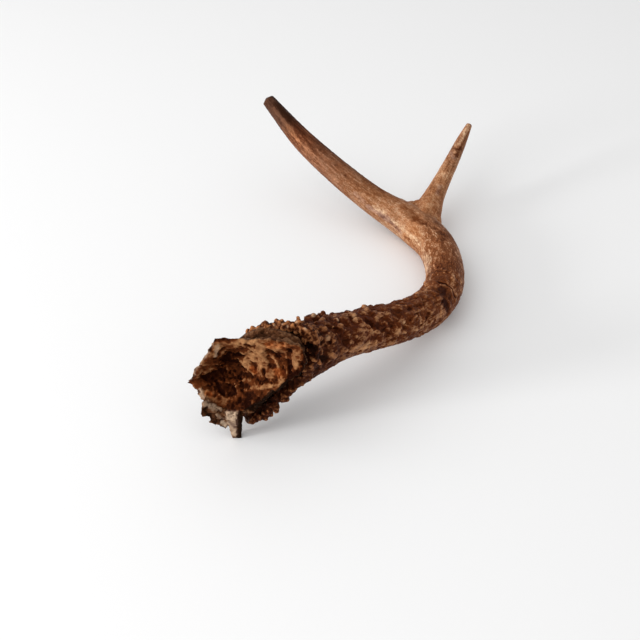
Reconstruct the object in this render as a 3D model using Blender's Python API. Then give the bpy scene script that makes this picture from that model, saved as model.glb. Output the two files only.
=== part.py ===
"""A two-point deer antler with the piece of skull that it grew from, lying as it rests on a table.

Modelled in metres, +Z up, with the table top at Z = 0. The driving sizes below are in millimetres.
The beam rises from the burr, runs to the right, curls round near the table and forks into two tines.
It is cut into nodes at the fork and at the burr, where an antler is shed from the skull.
"""

import math
import random

import bmesh
import bpy
import numpy as np
from mathutils import Matrix, Vector, noise

MM = 0.001

# Where the axis of the beam and of the long tine runs, as (x, y, z, radius).
BEAM_STATIONS = (
    (-37, -116, 38.5, 15),
    (-25, -109, 40, 14.5),
    (-10, -96, 36.7, 12.6),
    (8, -80.3, 29.9, 12.1),
    (27, -63.7, 22.6, 12.0),
    (46.5, -40.5, 15.3, 12.0),
    (59.5, -9, 12.2, 12.3),
    (58.5, 28, 12.2, 12.6),
    (45, 56, 12.3, 12.6),
    (18.5, 79, 18.5, 10.0),
    (-7.4, 101.2, 29.3, 9.0),
    (-33.6, 122.4, 44.8, 7.6),
    (-57.5, 140, 66.5, 4.6),
)
# The short tine, which leaves the beam inside the fork.
SHORT_TINE_STATIONS = (
    (47, 47, 12.5, 11.0),
    (54, 67, 15, 10.3),
    (60, 82, 19.5, 7.6),
    (66.7, 95, 25.5, 6.1),
    (74.4, 109, 33, 5.1),
    (82.2, 123, 42, 4.0),
    (88.5, 133, 50.3, 2.2),
)
CROTCH_WEB = (  # rounds out the crotch of the fork, and the foot of the short tine on its outside
    (43.5, 71.2, 15.1, 7.5),
    (35.5, 71.5, 16, 8.2),
    (50, 71, 15.3, 8.6),
    (56.5, 60.5, 13, 8.0),
)
TIP_ROUNDING = 0.45  # share of the last radius that a tine's end stands proud by

# The crest of the burr, the knobbly collar round the foot of the beam, clockwise as the skull sees it.
BURR_CREST = (
    (-55.5, -108, 48),
    (-43, -111, 56.5),
    (-33, -116, 60.5),
    (-25, -121, 59.5),
    (-22, -125.5, 52.5),
    (-24, -127, 44),
    (-30, -128, 34),
    (-40.5, -128.5, 24.5),
    (-47.5, -130.5, 14.5),
    (-56.5, -130.5, 8.5),
    (-64, -119, 12),
    (-64, -110, 24),
    (-62, -107, 37),
)
BURR_CENTRE = Vector((-43, -119, 36.5))
BURR_AXIS = Vector((0.57, 0.73, -0.37)).normalized()  # from the skull into the beam
BURR_ROLL = 2.8  # radius of the rolled crest
CREST_PEARLS = 34
LOWEST_PEARL = 2.2  # the burr hangs this far clear of the table
CROWN_PEARLS = 46
PEARL_RADII = (1.7, 3.1)

# The largest single knobs on the beam, as (x, y, z, radius).
KNOBS = (
    (-29, -101.5, 50, 2.8),
    (-24.5, -97, 49.5, 4.2),
    (-19.5, -93, 47, 4.0),
    (-12, -92, 41.5, 2.4),
    (-1, -83, 37, 2.2),
    (4.5, -75, 35.5, 2.8),
    (22, -59, 29, 2.4),
)

# The neck of the skull bone, an outline like the crest's but this much smaller.
NECK_SHARE = 0.7
NECK_ROOM_SHARE = 0.74
NECK_LENGTH = 9
PARTING_DEPTH = 2  # how far inside the burr the antler is shed from the neck

# The broken edge of the skull bone, clockwise as seen from in front of it.
MOUTH_RIM = (
    (-74, -127.5, 62),
    (-58, -131, 64.5),
    (-40, -136, 67),
    (-30, -138.5, 66),
    (-26.5, -140.5, 60),
    (-28.5, -141, 51),
    (-35, -140.5, 45),
    (-47, -139, 34.5),
    (-57, -138, 24),
    (-62, -137, 19.5),
    (-72, -134.5, 20),
    (-83.5, -132, 23.5),
    (-85.5, -129, 28.5),
    (-91, -128, 32),
    (-82, -128.5, 47),
)
RIM_CENTRE = Vector((-58, -133, 43))
WAIST_BULGE = (2.5, 6)  # of the outside between the rim and the neck: at the right, at the left
WALL = (5.0, 2.4)
HOLLOW_CENTRE = Vector((-65, -132, 42))
HOLLOW_DEPTH = (6, 13)
HOLLOW_DIRECTION = Vector((0.4, 0.88, -0.25)).normalized()
# A swelling of the bone along the top, between its rim and the burr, as (x, y, z, radius).
PEDICLE_SWELL = (
    (-63, -118.5, 51.5, 1.2),
    (-59, -119.5, 54, 3.2),
    (-52, -121.5, 58, 4.2),
    (-43, -124.5, 59.3, 4.6),
    (-36.5, -128, 60.2, 4.2),
    (-31.5, -131.5, 60, 3),
    (-28.5, -134.5, 58, 1.8),
)

# Splinters of bone on the lower edge, each the solid round its corners. The first is the leg.
SPLINTERS = (
    (
        (-70, -134, 17),
        (-61.5, -134, 15),
        (-66, -129, 22),
        (-70, -138, 19),
        (-61.5, -139, 19),
        (-69, -137, 9),
        (-67.5, -137, -0.6),
        (-62.5, -137, -0.6),
        (-66, -133, -0.6),
        (-61.5, -134, 12),
    ),
    (
        (-82, -137, 26),
        (-83, -138, 17.5),
        (-78, -137, 13.5),
        (-77, -130, 15),
        (-80, -128, 27),
        (-72, -136, 20),
    ),
    (
        (-79, -136, 18),
        (-78.5, -138, 12.5),
        (-76, -138, 9.5),
        (-73, -136, 13),
        (-74, -129, 20),
        (-79, -131, 22),
    ),
    (
        (-75, -137, 18),
        (-74.5, -138, 10),
        (-71, -138, 7),
        (-68.5, -137, 9),
        (-67, -136, 20),
        (-72, -129, 20),
    ),
)

FLANGE_SHOULDER = 0.86
COLLAR_ROW = 11  # where along the beam the flare of the burr ends

GAP = 0.3  # between two nodes that touch
LONG_TINE_CUT = (Vector((29, 70.5, 16.5)), Vector((-0.74, 0.62, 0.26)).normalized())
SHORT_TINE_CUT = (Vector((58, 77, 18)), Vector((0.33, 0.84, 0.40)).normalized())
BLOCK_HALF_WIDTH = 45  # of the blocks that take the tines off at those planes

VOXEL = 1.1  # the fineness at which overlapping shapes are welded into one skin
ANTLER_TRIANGLES = 6000
SKULL_TRIANGLES = 2700
SEED = 7


def clear_scene():
    for obj in list(bpy.data.objects):
        bpy.data.objects.remove(obj)


def smooth_through(points, per_span, closed=False):
    """Rows of a Catmull-Rom curve through the given rows."""
    rows = np.array(points, float)
    if closed:
        rows = np.vstack((rows[-1:], rows, rows[:2]))
    else:
        rows = np.vstack((2 * rows[0] - rows[1], rows, 2 * rows[-1] - rows[-2]))
    t = np.linspace(0, 1, per_span, endpoint=False)[:, None]
    spans = [
        0.5 * (2 * b + (c - a) * t + (2 * a - 5 * b + 4 * c - d) * t**2 + (3 * b - a - 3 * c + d) * t**3)
        for a, b, c, d in zip(rows, rows[1:], rows[2:], rows[3:])
    ]
    return np.vstack(spans if closed else [*spans, rows[-2:-1]])


def frames_along(centres):
    """A tangent and two cross directions at each centre, turning no more than the curve does."""
    tangents = np.gradient(centres, axis=0)
    tangents /= np.linalg.norm(tangents, axis=1)[:, None]
    side = np.cross(tangents[0], (0, 0, 1))
    frames = []
    for tangent in tangents:
        side = side - tangent * side.dot(tangent)
        side /= np.linalg.norm(side)
        frames.append((tangent, side, np.cross(tangent, side)))
    return frames


def new_object(name, mesh):
    obj = bpy.data.objects.new(name, mesh)
    bpy.context.scene.collection.objects.link(obj)
    return obj


def loft(name, rings, first_cap, last_cap):
    """A closed solid through rings of points, each ended by a cap point."""
    bm = bmesh.new()
    rows = [[bm.verts.new(Vector(p) * MM) for p in ring] for ring in rings]
    for low, high in zip(rows, rows[1:]):
        for i in range(len(low)):
            j = (i + 1) % len(low)
            bm.faces.new((low[i], low[j], high[j], high[i]))
    for row, point in ((rows[0], first_cap), (rows[-1], last_cap)):
        apex = bm.verts.new(Vector(point) * MM)
        for i in range(len(row)):
            bm.faces.new((row[i], row[(i + 1) % len(row)], apex))
    bmesh.ops.recalc_face_normals(bm, faces=bm.faces)
    mesh = bpy.data.meshes.new(name)
    bm.to_mesh(mesh)
    bm.free()
    return new_object(name, mesh)


def hull(name, points):
    """The convex solid round the points."""
    bm = bmesh.new()
    verts = [bm.verts.new(Vector(p) * MM) for p in points]
    made = bmesh.ops.convex_hull(bm, input=verts)
    inner = [e for e in made["geom_interior"] if isinstance(e, bmesh.types.BMVert)]
    bmesh.ops.delete(bm, geom=inner, context="VERTS")
    bmesh.ops.recalc_face_normals(bm, faces=bm.faces)
    mesh = bpy.data.meshes.new(name)
    bm.to_mesh(mesh)
    bm.free()
    return new_object(name, mesh)


def ball(centre, radius):
    bm = bmesh.new()
    place = Matrix.Translation(Vector(centre) * MM)
    bmesh.ops.create_icosphere(bm, subdivisions=2, radius=radius * MM, matrix=place)
    mesh = bpy.data.meshes.new("pearl")
    bm.to_mesh(mesh)
    bm.free()
    return new_object("pearl", mesh)


def beam_relief(length_along, outward):
    """How far the skin stands out at a place on the beam: knobbly near the burr, smooth past the bend."""
    knobbly = max(0.0, 1 - length_along / 165) ** 0.8
    underside = min(1.0, max(0.0, (outward.dot(Vector((0.1, 0.5, 0.85))) + 0.85) / 0.6))
    return knobbly * underside


def tube(name, stations, per_span, sides, knobbly=False):
    """A round limb along its stations. Its far end is slightly domed."""
    rows = smooth_through(stations, per_span)
    centres, radii = rows[:, :3], rows[:, 3]
    along = np.r_[0, np.cumsum(np.linalg.norm(np.diff(centres, axis=0), axis=1))]
    rings = []
    for centre, radius, s, (_, side, lift) in zip(centres, radii, along, frames_along(centres)):
        ring = []
        for k in range(sides):
            angle = 2 * math.pi * k / sides
            outward = Vector(side * math.cos(angle) + lift * math.sin(angle))
            place = Vector(centre) + outward * radius
            if knobbly:
                lump = noise.noise(place / 5.2) + 0.6 * noise.noise(place / 2.9)
                radius_here = radius + beam_relief(s, outward) * (0.4 + 2.4 * lump)
            else:
                radius_here = radius
            ring.append(Vector(centre) + outward * radius_here)
        rings.append(ring)
    direction = Vector(centres[-1] - centres[-2]).normalized()
    dome = Vector(centres[-1]) + direction * radii[-1] * TIP_ROUNDING
    return loft(name, rings, centres[0], dome)


def burr():
    """The flared foot of the beam, its rolled crest and the pearls on both."""
    chance = random.Random(SEED)
    crest = [Vector(p) for p in smooth_through(BURR_CREST, 6, closed=True)]
    rows = smooth_through(BEAM_STATIONS, 8)
    collar_at, collar_radius = Vector(rows[COLLAR_ROW, :3]), rows[COLLAR_ROW, 3]
    _, side, lift = frames_along(rows[:, :3])[COLLAR_ROW]
    angles = np.linspace(0, 2 * math.pi, 24, endpoint=False)
    spokes = [Vector(side * math.cos(a) + lift * math.sin(a)) * collar_radius for a in angles]
    collar = [collar_at + spoke * 0.98 for spoke in spokes]
    plate = [BURR_CENTRE + (p - BURR_CENTRE) * 0.98 for p in crest]
    pieces = [
        hull("flange", plate + neck_outline(FLANGE_SHOULDER, PARTING_DEPTH + 5, 24)),
        hull("flare", collar + neck_outline(FLANGE_SHOULDER, PARTING_DEPTH, 24)),
    ]

    rings = []
    for before, point, after in zip(crest[-1:] + crest[:-1], crest, crest[1:] + crest[:1]):
        outward = (point - BURR_CENTRE).normalized()
        across = (after - before).normalized().cross(outward)
        roll = BURR_ROLL * chance.uniform(0.85, 1.15)
        steps = np.linspace(0, 2 * math.pi, 10, endpoint=False)
        rings.append([point + (outward * math.cos(a) + across * math.sin(a)) * roll for a in steps])
    pieces.append(ring_of(rings))

    for i in range(CREST_PEARLS):
        point = crest[i * len(crest) // CREST_PEARLS]
        outward = (point - BURR_CENTRE).normalized()
        jitter = Vector([chance.uniform(-1.6, 1.6) for _ in range(3)])
        place, radius = point + outward * chance.uniform(0.6, 2.2) + jitter, chance.uniform(*PEARL_RADII)
        place.z = max(place.z, radius + LOWEST_PEARL)
        pieces.append(ball(place, radius))

    for _ in range(CROWN_PEARLS):
        point = crest[int(chance.uniform(0.0, 0.5) * len(crest))]
        outward = (point - collar_at).normalized()
        rise = chance.random() ** 0.8
        on_collar = collar_at + (outward - BURR_AXIS * outward.dot(BURR_AXIS)) * collar_radius
        foot = point.lerp(on_collar, rise)
        pieces.append(ball(foot + outward * 1.4, chance.uniform(*PEARL_RADII) * (1 - 0.2 * rise)))
    return pieces


def ring_of(rings):
    """A closed ring-shaped solid through rings of points, the last joined to the first."""
    bm = bmesh.new()
    rows = [[bm.verts.new(p * MM) for p in ring] for ring in rings]
    for low, high in zip(rows, rows[1:] + rows[:1]):
        for i in range(len(low)):
            j = (i + 1) % len(low)
            bm.faces.new((low[i], low[j], high[j], high[i]))
    bmesh.ops.recalc_face_normals(bm, faces=bm.faces)
    mesh = bpy.data.meshes.new("crest")
    bm.to_mesh(mesh)
    bm.free()
    return new_object("crest", mesh)


def along_loop(corners, count):
    """Points at equal steps along a closed line through the corners."""
    points = np.array([*corners, corners[0]], float)
    reach = np.r_[0, np.cumsum(np.linalg.norm(np.diff(points, axis=0), axis=1))]
    steps = np.linspace(0, reach[-1], count, endpoint=False)
    return [Vector([np.interp(s, reach, points[:, k]) for k in range(3)]) for s in steps]


def neck_outline(share, depth, count=72):
    """The crest's outline made smaller and laid flat, that deep from the burr's centre towards the beam."""
    outline = []
    for corner in along_loop(smooth_through(BURR_CREST, 6, closed=True), count):
        spoke = (corner - BURR_CENTRE) * share
        outline.append(BURR_CENTRE + spoke - BURR_AXIS * (spoke.dot(BURR_AXIS) - depth))
    return outline


def between(pair, share):
    return pair[0] + (pair[1] - pair[0]) * share


def ragged(point):
    """A small wandering shift that depends on the place alone."""
    return Vector([noise.noise(point + Vector((0, 0, 31 * axis))) for axis in range(3)])


def skull_shell():
    """The skull bone: a neck, an outer wall out to the broken rim, and the hollow inside it."""

    def leftness(point):
        return min(1.0, max(0.0, (-48 - point.x) / 34))

    rim = along_loop(MOUTH_RIM, 72)
    rim = [p + ragged(p / 3.1) * 0.9 for p in rim]
    neck = neck_outline(NECK_SHARE, PARTING_DEPTH + 1)
    neck_back = neck_outline(NECK_SHARE, PARTING_DEPTH - NECK_LENGTH)
    waist, lip = [], []
    for edge, foot in zip(rim, neck_back):
        outward = (edge - RIM_CENTRE).normalized()
        outward.z = min(outward.z, max(-0.1, 1 - 3 * leftness(edge)))
        waist.append(edge.lerp(foot, 0.5) + outward * between(WAIST_BULGE, leftness(edge)))
        wall = between(WALL, leftness(edge))
        lip.append(edge + (HOLLOW_CENTRE - edge).normalized() * wall + HOLLOW_DIRECTION * 0.4)
    rings = [neck, neck_back, waist, rim, lip]
    for share in np.linspace(0.94, 0.06, 12):
        ring = []
        for edge in lip:
            place = HOLLOW_CENTRE + (edge - HOLLOW_CENTRE) * share
            depth = between(HOLLOW_DEPTH, leftness(place)) * (1 - share**2) ** 1.1
            depth += 1.3 * noise.noise(place / 4.5) * (1 - share**8)
            ring.append(place + HOLLOW_DIRECTION * depth)
        rings.append(ring)
    deepest = HOLLOW_CENTRE + HOLLOW_DIRECTION * between(HOLLOW_DEPTH, leftness(HOLLOW_CENTRE))
    return loft("shell", rings, BURR_CENTRE + BURR_AXIS * (PARTING_DEPTH + 1), deepest)


def fuse(name, pieces, triangles):
    """Welds overlapping solids into one skin, softened and thinned to about that many triangles."""
    bm = bmesh.new()
    for piece in pieces:
        bm.from_mesh(piece.data)
        bpy.data.objects.remove(piece)
    mesh = bpy.data.meshes.new(name)
    bm.to_mesh(mesh)
    bm.free()
    obj = new_object(name, mesh)
    remesh = obj.modifiers.new("weld", "REMESH")
    remesh.mode = "VOXEL"
    remesh.voxel_size = VOXEL * MM
    soften = obj.modifiers.new("soften", "SMOOTH")
    soften.factor, soften.iterations = 0.4, 1
    apply_modifiers(obj)
    thin = obj.modifiers.new("thin", "DECIMATE")
    thin.ratio = min(1.0, triangles / (2 * len(obj.data.polygons)))
    apply_modifiers(obj)
    return obj


def apply_modifiers(obj):
    graph = bpy.context.evaluated_depsgraph_get()
    mesh = bpy.data.meshes.new_from_object(obj.evaluated_get(graph))
    obj.modifiers.clear()
    obj.data = mesh


def cut(obj, point, normal, name):
    """What is left of a solid behind a plane, closed with a flat face, as a new object."""
    bm = bmesh.new()
    bm.from_mesh(obj.data)
    planes = bmesh.ops.bisect_plane(
        bm,
        geom=[*bm.verts, *bm.edges, *bm.faces],
        dist=1e-7,
        plane_co=point * MM,
        plane_no=normal,
        clear_outer=True,
    )
    edges = [e for e in planes["geom_cut"] if isinstance(e, bmesh.types.BMEdge)]
    bmesh.ops.triangle_fill(bm, edges=edges, use_beauty=True, normal=normal)
    bmesh.ops.recalc_face_normals(bm, faces=bm.faces)
    mesh = bpy.data.meshes.new(name)
    bm.to_mesh(mesh)
    bm.free()
    return new_object(name, mesh)


def combine(obj, cutter, operation, name):
    """A Boolean of two solids as a new object. The cutter is used up."""
    cutter.hide_render = True
    cutter.display_type = "WIRE"
    made = new_object(name, obj.data.copy())
    boolean = made.modifiers.new(name, "BOOLEAN")
    boolean.operation = operation
    boolean.object = cutter
    apply_modifiers(made)
    bpy.data.objects.remove(cutter)
    return made


def block_beyond(plane, start):
    """A block with one face on a tine's cutting plane, large enough to hold that tine alone."""
    point, normal = plane
    side = normal.cross(Vector((0, 0, 1))).normalized() * BLOCK_HALF_WIDTH
    lift = side.cross(normal)
    near = point + normal * start
    far = near + normal * 4 * BLOCK_HALF_WIDTH
    return hull("block", [end + side * a + lift * b for end in (near, far) for a in (-1, 1) for b in (-1, 1)])


def split(obj, plane, near_name, far_name):
    """Two objects either side of a plane, with the gap between them."""
    near = combine(obj, block_beyond(plane, -GAP / 2), "DIFFERENCE", near_name)
    far = combine(obj, block_beyond(plane, GAP / 2), "INTERSECT", far_name)
    bpy.data.objects.remove(obj)
    return near, far


def neck_room():
    """The room for the skull's neck inside the foot of the antler."""
    start = neck_outline(NECK_ROOM_SHARE, -40, 40)
    end = neck_outline(NECK_ROOM_SHARE, PARTING_DEPTH, 40)
    start_middle = BURR_CENTRE - BURR_AXIS * 40
    end_middle = BURR_CENTRE + BURR_AXIS * PARTING_DEPTH
    return loft("neck_room", [start, end], start_middle, end_middle)


def material(name, colour, roughness):
    made = bpy.data.materials.new(name)
    made.use_nodes = True
    shader = made.node_tree.nodes["Principled BSDF"]
    shader.inputs["Base Color"].default_value = (*colour, 1)
    shader.inputs["Roughness"].default_value = roughness
    shader.inputs["Metallic"].default_value = 0
    return made


def stand_over_origin(objects):
    """Moves the whole sideways so that the origin is under the middle of its box."""
    corners = np.array([v.co for obj in objects for v in obj.data.vertices])
    middle = (corners.min(axis=0) + corners.max(axis=0)) / 2
    for obj in objects:
        obj.data.transform(Matrix.Translation((-middle[0], -middle[1], 0)))


def build_antler():
    beam = tube("beam_tube", BEAM_STATIONS, 16, 40, knobbly=True)
    short_tine = tube("tine_tube", SHORT_TINE_STATIONS, 8, 28)
    knobs = [ball(knob[:3], knob[3]) for knob in (*KNOBS, *CROTCH_WEB)]
    whole = fuse("antler", [beam, short_tine, *burr(), *knobs], ANTLER_TRIANGLES)
    shed = combine(whole, neck_room(), "DIFFERENCE", "shed")
    on_table = cut(shed, Vector((0, 0, 0)), Vector((0, 0, -1)), "antler_on_table")
    bpy.data.objects.remove(whole)
    bpy.data.objects.remove(shed)
    rest, long_tine = split(on_table, LONG_TINE_CUT, "rest", "long_tine")
    beam, short_tine = split(rest, SHORT_TINE_CUT, "beam", "short_tine")
    return beam, long_tine, short_tine


def build_skull():
    splinters = [hull("splinter", corners) for corners in SPLINTERS]
    swell = tube("swell", PEDICLE_SWELL, 6, 24)
    whole = fuse("skull", [skull_shell(), swell, *splinters], SKULL_TRIANGLES)
    trimmed = cut(whole, BURR_CENTRE + BURR_AXIS * (PARTING_DEPTH - GAP), BURR_AXIS, "trimmed")
    bpy.data.objects.remove(whole)
    skull = cut(trimmed, Vector((0, 0, 0)), Vector((0, 0, -1)), "skull_bone")
    bpy.data.objects.remove(trimmed)
    return skull


def main():
    clear_scene()
    beam, long_tine, short_tine = build_antler()
    skull = build_skull()
    finishes = {
        beam: material("knobbly_antler", (0.16, 0.075, 0.032), 0.55),
        long_tine: material("long_tine_antler", (0.2, 0.1, 0.05), 0.42),
        short_tine: material("short_tine_antler", (0.36, 0.2, 0.1), 0.4),
        skull: material("skull_bone", (0.27, 0.16, 0.08), 0.7),
    }
    for obj, finish in finishes.items():
        obj.data.materials.append(finish)
        obj.data.shade_smooth()
        obj.data.set_sharp_from_angle(angle=math.radians(40))
    stand_over_origin(list(finishes))


main()
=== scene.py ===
"""The deer antler dressed for its photograph: fine skin, bone and pearls, on a plain pale floor.

Shapes are worked out in millimetres, then moved over the part's origin and scaled to metres.
The driving points repeat those of the part's source.
"""

import math
import random
import bmesh
import bpy
import numpy as np
from mathutils import Matrix, Vector, bvhtree, noise


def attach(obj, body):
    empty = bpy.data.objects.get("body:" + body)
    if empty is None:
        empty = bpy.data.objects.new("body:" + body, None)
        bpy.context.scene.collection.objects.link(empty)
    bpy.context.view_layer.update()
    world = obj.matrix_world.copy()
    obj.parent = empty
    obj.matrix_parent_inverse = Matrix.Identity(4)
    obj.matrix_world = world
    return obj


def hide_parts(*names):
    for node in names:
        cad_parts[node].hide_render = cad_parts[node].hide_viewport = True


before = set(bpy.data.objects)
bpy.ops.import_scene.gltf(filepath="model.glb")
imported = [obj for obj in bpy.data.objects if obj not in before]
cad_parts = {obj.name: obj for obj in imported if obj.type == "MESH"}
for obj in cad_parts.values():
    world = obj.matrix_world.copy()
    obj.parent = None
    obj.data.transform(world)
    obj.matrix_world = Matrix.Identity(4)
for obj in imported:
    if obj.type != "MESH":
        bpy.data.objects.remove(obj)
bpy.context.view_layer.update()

MM = 0.001

# ---------------- the part's driving points, in mm

# Stations of the limbs: x, y, z and radius. Knobs and webs are balls with the same four numbers.
BEAM_STATIONS = (
    (-37, -116, 38.5, 15), (-25, -109, 40, 14.5), (-10, -96, 36.7, 12.6), (8, -80.3, 29.9, 12.1),
    (27, -63.7, 22.6, 12.0), (46.5, -40.5, 15.3, 12.0), (59.5, -9, 12.2, 12.3), (58.5, 28, 12.2, 12.6),
    (45, 56, 12.3, 12.6), (18.5, 79, 18.5, 10.0), (-7.4, 101.2, 29.3, 9.0), (-33.6, 122.4, 44.8, 7.6),
    (-57.5, 140, 66.5, 4.6),
)
SHORT_TINE_STATIONS = (
    (47, 47, 12.5, 11.0), (54, 67, 15, 10.3), (60, 82, 19.5, 7.6), (66.7, 95, 25.5, 6.1),
    (74.4, 109, 33, 5.1), (82.2, 123, 42, 4.0), (88.5, 133, 50.3, 2.2),
)
CROTCH_WEB = (
    (43.5, 71.2, 15.1, 7.5), (35.5, 71.5, 16, 8.2), (50, 71, 15.3, 8.6), (56.5, 60.5, 13, 8.0),
)
TIP_ROUNDING = 0.45
BURR_CREST = (
    (-55.5, -108, 48), (-43, -111, 56.5), (-33, -116, 60.5), (-25, -121, 59.5), (-22, -125.5, 52.5),
    (-24, -127, 44), (-30, -128, 34), (-40.5, -128.5, 24.5), (-47.5, -130.5, 14.5),
    (-56.5, -130.5, 8.5), (-64, -119, 12), (-64, -110, 24), (-62, -107, 37),
)
BURR_CENTRE = Vector((-43, -119, 36.5))
BURR_AXIS = Vector((0.57, 0.73, -0.37)).normalized()
BURR_ROLL = 2.8
CREST_PEARLS = 34
LOWEST_PEARL = 2.2
CROWN_PEARLS = 46
PEARL_RADII = (1.7, 3.1)
SEED = 7
KNOBS = (
    (-29, -101.5, 50, 2.8), (-24.5, -97, 49.5, 4.2), (-19.5, -93, 47, 4.0), (-12, -92, 41.5, 2.4),
    (-1, -83, 37, 2.2), (4.5, -75, 35.5, 2.8), (22, -59, 29, 2.4),
)
NECK_SHARE = 0.7
NECK_ROOM_SHARE = 0.74
NECK_LENGTH = 9
PARTING_DEPTH = 2
FLANGE_SHOULDER = 0.86
COLLAR_ROW = 11
GAP = 0.3
MOUTH_RIM = (
    (-74, -127.5, 62), (-58, -131, 64.5), (-40, -136, 67), (-30, -138.5, 66), (-26.5, -140.5, 60),
    (-28.5, -141, 51), (-35, -140.5, 45), (-47, -139, 34.5), (-57, -138, 24), (-62, -137, 19.5),
    (-72, -134.5, 20), (-83.5, -132, 23.5), (-85.5, -129, 28.5), (-91, -128, 32), (-82, -128.5, 47),
)
RIM_CENTRE = Vector((-58, -133, 43))
WAIST_BULGE = (2.5, 6)
WALL = (5.0, 2.4)
HOLLOW_CENTRE = Vector((-65, -132, 42))
HOLLOW_DEPTH = (6, 13)
HOLLOW_DIRECTION = Vector((0.4, 0.88, -0.25)).normalized()
SPLINTERS = (
    (
        (-70, -134, 17), (-61.5, -134, 15), (-66, -129, 22), (-70, -138, 19), (-61.5, -139, 19),
        (-69, -137, 9), (-67.5, -137, -0.6), (-62.5, -137, -0.6), (-66, -133, -0.6), (-61.5, -134, 12),
    ),
    (
        (-82, -137, 26), (-83, -138, 17.5), (-78, -137, 13.5), (-77, -130, 15), (-80, -128, 27),
        (-72, -136, 20),
    ),
    (
        (-79, -136, 18), (-78.5, -138, 12.5), (-76, -138, 9.5), (-73, -136, 13), (-74, -129, 20),
        (-79, -131, 22),
    ),
    (
        (-75, -137, 18), (-74.5, -138, 10), (-71, -138, 7), (-68.5, -137, 9), (-67, -136, 20),
        (-72, -129, 20),
    ),
)
PEDICLE_SWELL = (
    (-63, -118.5, 51.5, 1.2), (-59, -119.5, 54, 3.2), (-52, -121.5, 58, 4.2), (-43, -124.5, 59.3, 4.6),
    (-36.5, -128, 60.2, 4.2), (-31.5, -131.5, 60, 3), (-28.5, -134.5, 58, 1.8),
)
CENTRING = Vector((-0.06, -1.43, 0))  # moves the points above over the part's origin

# ---------------- the camera

CAMERA_PITCH = 38
CAMERA_AT = Vector((-20, -518.4, 379.2))
FOCAL_PIXELS = 985
FRAME_PIXELS = 640
PIXELS_OFF = 12  # a mark that misses the skin is laid less than this far from its own pixel
PIXELS_APART = 1.5  # the steps in which a line of the photograph is laid on the skin

# ---------------- what the dressing adds, in mm unless it is a count or a share

RIM_POINTS = 216
BOWL_RINGS = 30
ROUGH_VOXEL = 0.9
ANTLER_VOXEL = 0.5
SKULL_VOXEL = 0.42
MOST_TRIANGLES = 195_000
ROOM_REACH = 40  # how far the cut for the neck reaches out on the skull's side of the burr
PEARL_SCALE = 0.85  # scales the solid's pearls, to leave room for finer ones
FLANGE_PEARLS = 150
FLARE_PEARLS = 220
CROTCH = (44, 70, 22)  # the middle of the fork's crotch
TINE_START = 235  # distance along the beam at which the short tine's own distance starts
BROAD = 40  # rounds of evening that take the lumps of a limb away
ON_SHELL = 0.9  # how near the welded skull has to be to its plain shell to count as the same surface
TIGHT = 5.0  # how near the antler and the skull have to be for painted shade between them
FLOOR_REACH = 6  # in metres, from the middle of the floor to its edges

# ---------------- what shows on the photograph

# Where the larger pearls show on the photograph: column and row in its pixels, radius in mm.
SEEN_PEARLS = (
    (248, 333, 2.2), (253, 331, 2.3), (259, 330, 2.2), (265, 329.5, 2.0), (269.8, 326.5, 1.1),
    (273.5, 324.5, 1.2), (279, 323.5, 1.4), (277, 320.8, 1.7), (285.6, 324.5, 1.5), (282, 320.5, 1.3),
    (292.7, 326, 1.4), (289, 322, 1.2), (297, 319, 1.7), (299.9, 322, 1.3), (304.5, 318.5, 1.5),
    (307, 325.5, 1.5), (305, 329.5, 1.5), (300, 328, 1.2), (313.6, 315.8, 2.0), (311, 321, 1.3),
    (318, 318, 1.5), (316.5, 323.5, 1.5), (323, 314.5, 2.3), (315.7, 332.7, 1.5), (321, 328, 1.5),
    (310, 334, 1.2), (327.8, 338.5, 2.0), (322.6, 345, 1.2), (333, 328, 1.6), (318, 340, 1.5),
    (332, 355, 1.1), (335.5, 361, 1.2), (328, 361, 1.2), (323, 354, 1.3), (326, 368, 1.4), (319, 363, 1.5),
    (317, 373, 1.4), (311, 369, 1.3), (309, 379, 1.5), (302, 384, 1.5), (305, 373, 1.4), (295, 388, 1.6),
    (290, 393, 2.2), (287, 399, 2.2), (283, 401, 2.2), (280, 406, 2.2), (276, 412, 1.8), (282, 399, 1.5),
    (284, 404, 1.7), (276, 408, 1.8), (268, 413, 1.9), (260, 417, 1.9), (252, 421, 2.0), (268, 404, 1.6),
    (276, 398, 1.4), (258, 410, 1.7), (248, 414, 1.6),
)
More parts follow.
